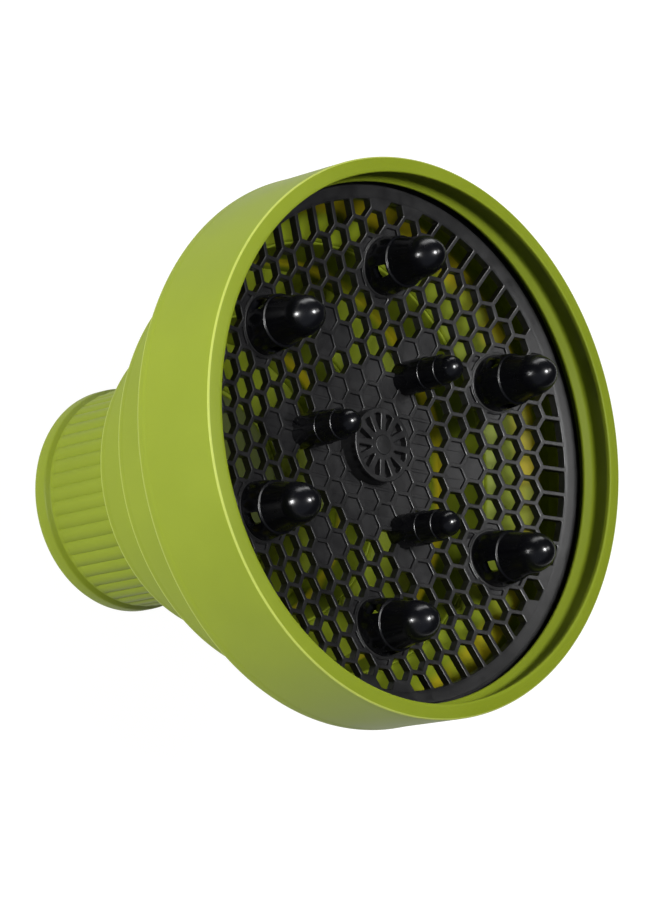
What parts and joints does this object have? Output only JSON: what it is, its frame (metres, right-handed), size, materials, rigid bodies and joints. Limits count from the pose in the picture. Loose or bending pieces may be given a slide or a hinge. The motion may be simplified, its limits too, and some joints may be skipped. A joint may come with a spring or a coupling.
{
  "type": "hair dryer diffuser",
  "caption": "Collapsible silicone dryer diffuser with a ribbed collar, folding bowl, dished honeycomb grille and hollow fingers.",
  "frame": {"origin": "centre of the collar's rear face, where the dryer's nozzle enters", "axes": "+Z along the diffuser's axis from the dryer towards the hair, +X between two outer fingers and away from the lone inner finger"},
  "size_m": [0.1488, 0.1488, 0.1304],
  "materials": {
    "silicone": "satin",
    "grille_plastic": "matte",
    "finger_plastic": "gloss"
  },
  "bodies": {
    "collar": {"collar_sleeve": "silicone", "web_lower": "silicone"},
    "lower_stage": {"ring_lower": "silicone", "web_middle": "silicone"},
    "upper_stage": {"ring_upper": "silicone", "web_upper": "silicone"},
    "head": {"bowl_shell": "silicone", "grille_disc": "grille_plastic", "hub_vent": "grille_plastic", "outer_finger_1": "finger_plastic", "outer_finger_2": "finger_plastic", "outer_finger_3": "finger_plastic", "outer_finger_4": "finger_plastic", "outer_finger_5": "finger_plastic", "outer_finger_6": "finger_plastic", "inner_finger_1": "finger_plastic", "inner_finger_2": "finger_plastic", "inner_finger_3": "finger_plastic"}
  },
  "joints": [
    {"name": "lower_fold", "type": "slide", "parent": "collar", "child": "lower_stage", "axis": [0, 0, -1], "range_m": [0, 0.014], "deforming": ["web_lower"]},
    {"name": "middle_fold", "type": "slide", "parent": "lower_stage", "child": "upper_stage", "axis": [0, 0, -1], "range_m": [0, 0.0164], "deforming": ["web_middle"]},
    {"name": "upper_fold", "type": "slide", "parent": "upper_stage", "child": "head", "axis": [0, 0, -1], "range_m": [0, 0.0172], "deforming": ["web_upper"]}
  ]
}
